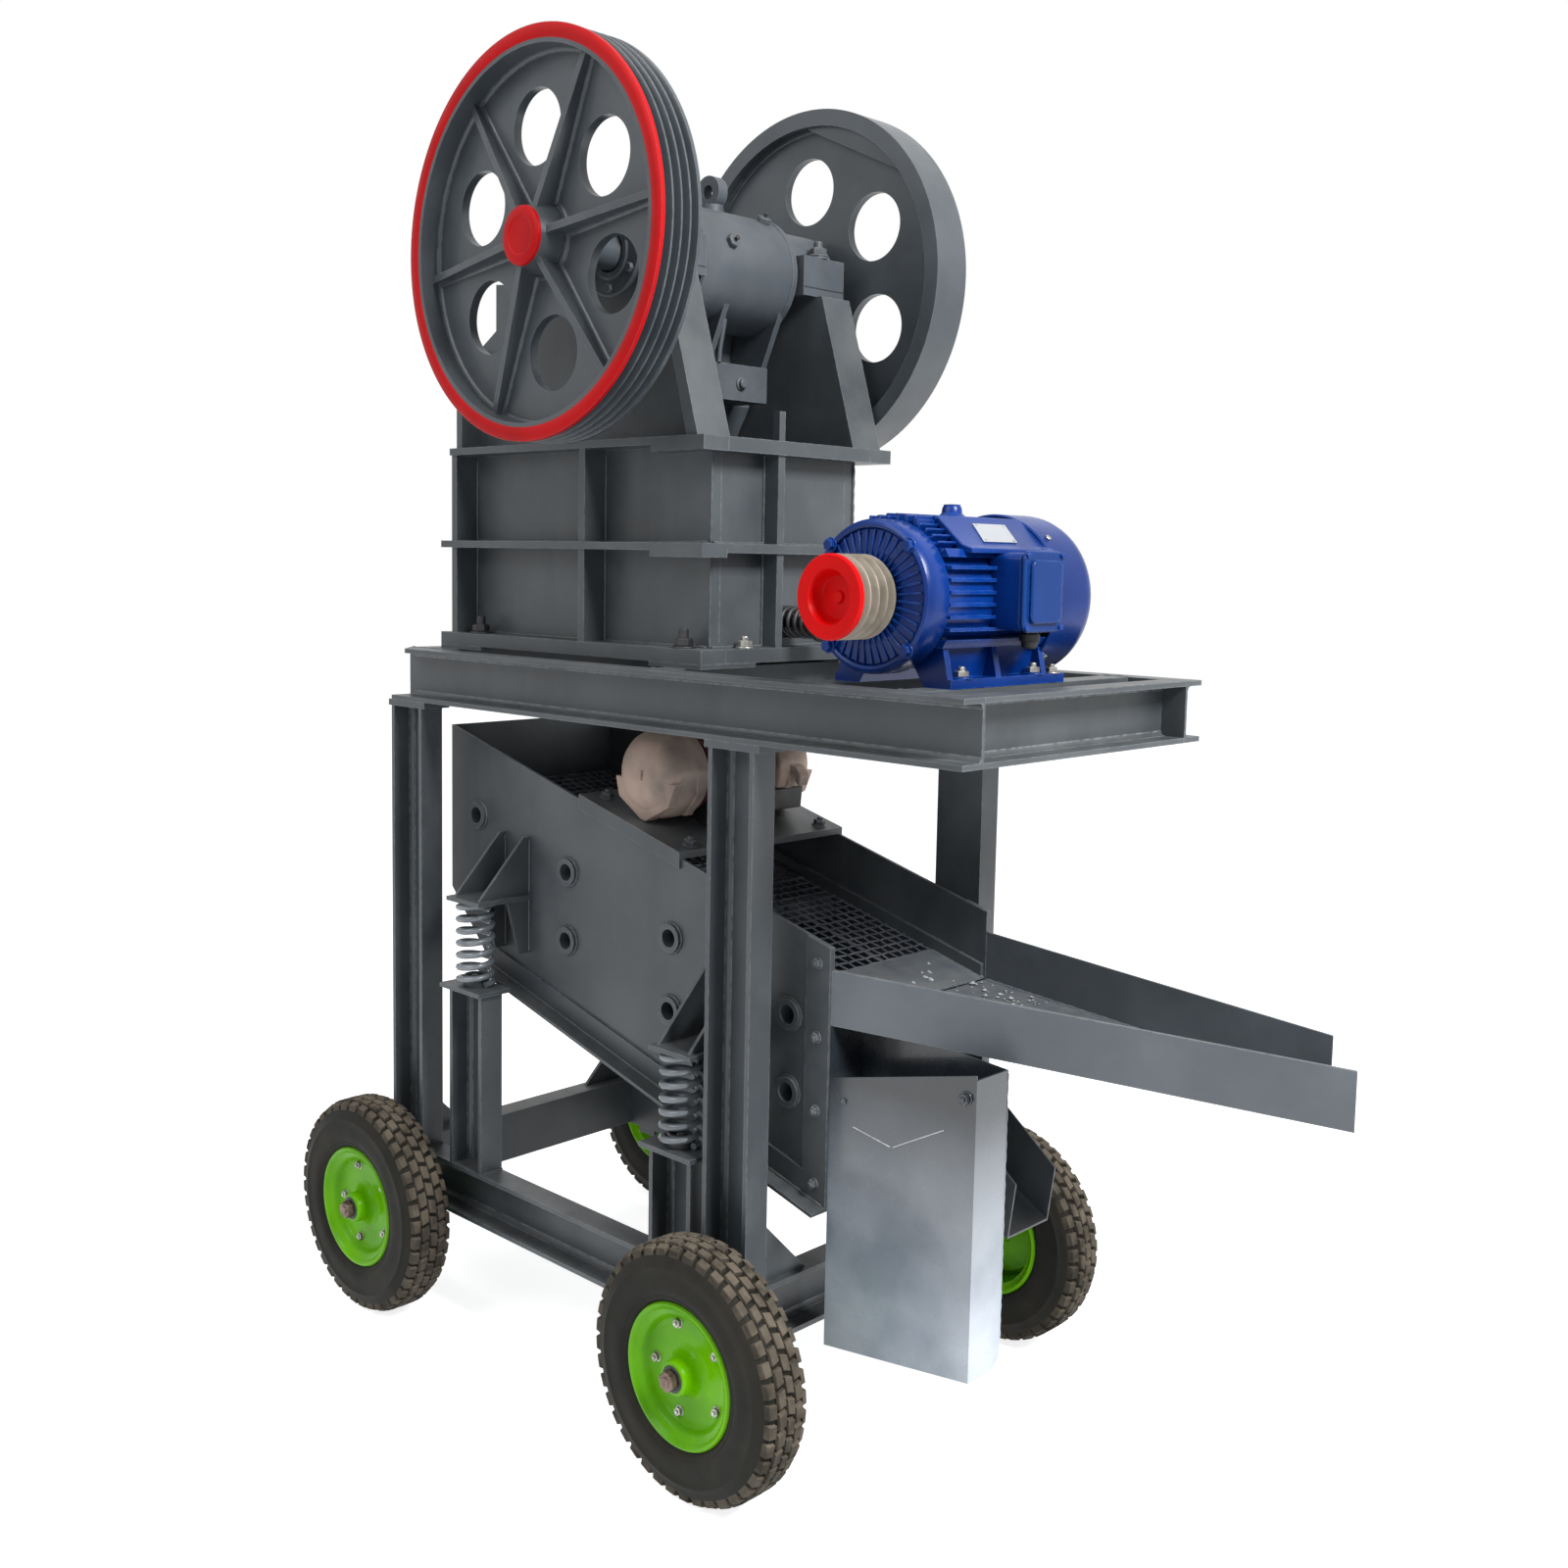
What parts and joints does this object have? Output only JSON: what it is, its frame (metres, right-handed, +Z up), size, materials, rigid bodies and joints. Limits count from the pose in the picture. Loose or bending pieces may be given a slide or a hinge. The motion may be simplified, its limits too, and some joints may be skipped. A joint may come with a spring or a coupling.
{
  "type": "jaw crusher",
  "caption": "Wheeled jaw crusher set: motor and twin-flywheel jaw crusher on a raised channel frame over a sprung vibrating screen with discharge chutes.",
  "frame": {"origin": "middle of the bounding box on the ground under the tyres", "axes": "+X along the deck towards the motor and the discharge tray, +Y from the grooved flywheel's side to the plain flywheel's side, +Z up"},
  "size_m": [1.939, 0.894, 2.304],
  "materials": {
    "frame_paint": "satin, worn",
    "pulley_paint": "satin",
    "motor_paint": "gloss",
    "rim_paint": "gloss",
    "chute_paint": "gloss",
    "vibrator_paint": "dusty",
    "spring_paint": "satin",
    "screen_wire": "dusty",
    "bare_steel": "rusty",
    "tyre_rubber": "dusty"
  },
  "bodies": {
    "chassis": {"base_long_rails": "frame_paint", "base_cross_rails": "frame_paint", "legs": "frame_paint", "leg_gussets": "frame_paint", "spring_posts": "frame_paint", "axle_stubs": "bare_steel", "deck_long_beams": "frame_paint", "deck_cross_beams": "frame_paint", "crusher_pads": "frame_paint", "near_side_wall": "frame_paint", "far_side_wall": "frame_paint", "front_wall": "frame_paint", "rear_wall": "frame_paint", "bearing_housings": "frame_paint", "tension_rod": "bare_steel", "tension_spring": "bare_steel", "motor_frame": "motor_paint", "motor_fan_cover": "motor_paint", "motor_terminal_box": "motor_paint"},
    "flywheel_shaft": {"eccentric_shaft": "bare_steel", "grooved_flywheel": "frame_paint", "plain_flywheel": "frame_paint"},
    "swing_jaw": {"swing_jaw": "frame_paint"},
    "motor_rotor": {"motor_pulley": "pulley_paint"},
    "screen_box": {"near_side_plate": "frame_paint", "far_side_plate": "frame_paint", "screen_rear_plate": "frame_paint", "cross_tubes": "frame_paint", "upper_mesh": "screen_wire", "lower_mesh": "screen_wire", "bottom_pan": "frame_paint", "oversize_tray": "chute_paint", "mid_chute": "chute_paint", "fines_chute": "chute_paint", "vibrator_bridge": "frame_paint", "vibrator_motor": "vibrator_paint", "spring_brackets": "frame_paint", "left_screen_springs": "spring_paint", "right_screen_springs": "spring_paint"},
    "near_left_wheel": {"near_left_tyre": "tyre_rubber", "near_left_rim": "rim_paint"},
    "near_right_wheel": {"near_right_tyre": "tyre_rubber", "near_right_rim": "rim_paint"},
    "far_left_wheel": {"far_left_tyre": "tyre_rubber", "far_left_rim": "rim_paint"},
    "far_right_wheel": {"far_right_tyre": "tyre_rubber", "far_right_rim": "rim_paint"}
  },
  "joints": [
    {"name": "flywheel_spin", "type": "hinge", "parent": "chassis", "child": "flywheel_shaft", "pos_m": [-0.2645, 0, 1.976], "axis": [0, 1, 0], "continuous": true},
    {"name": "jaw_swing", "type": "hinge", "parent": "chassis", "child": "swing_jaw", "pos_m": [-0.2645, 0, 1.976], "axis": [0, 1, 0], "range_deg": [-1, 1]},
    {"name": "motor_spin", "type": "hinge", "parent": "chassis", "child": "motor_rotor", "pos_m": [0.3535, -0.313, 1.411], "axis": [0, 1, 0], "continuous": true},
    {"name": "screen_bounce", "type": "slide", "parent": "chassis", "child": "screen_box", "axis": [0, 0, 1], "range_m": [-0.006, 0.006], "stiffness_N_per_m": 120000, "springref_m": 0.0191, "deforming": ["left_screen_springs", "right_screen_springs"]},
    {"name": "near_left_wheel_spin", "type": "hinge", "parent": "chassis", "child": "near_left_wheel", "pos_m": [-0.7645, -0.396, 0.205], "axis": [0, 1, 0], "continuous": true},
    {"name": "near_right_wheel_spin", "type": "hinge", "parent": "chassis", "child": "near_right_wheel", "pos_m": [0.1505, -0.396, 0.205], "axis": [0, 1, 0], "continuous": true},
    {"name": "far_left_wheel_spin", "type": "hinge", "parent": "chassis", "child": "far_left_wheel", "pos_m": [-0.7645, 0.396, 0.205], "axis": [0, 1, 0], "continuous": true},
    {"name": "far_right_wheel_spin", "type": "hinge", "parent": "chassis", "child": "far_right_wheel", "pos_m": [0.1505, 0.396, 0.205], "axis": [0, 1, 0], "continuous": true}
  ]
}
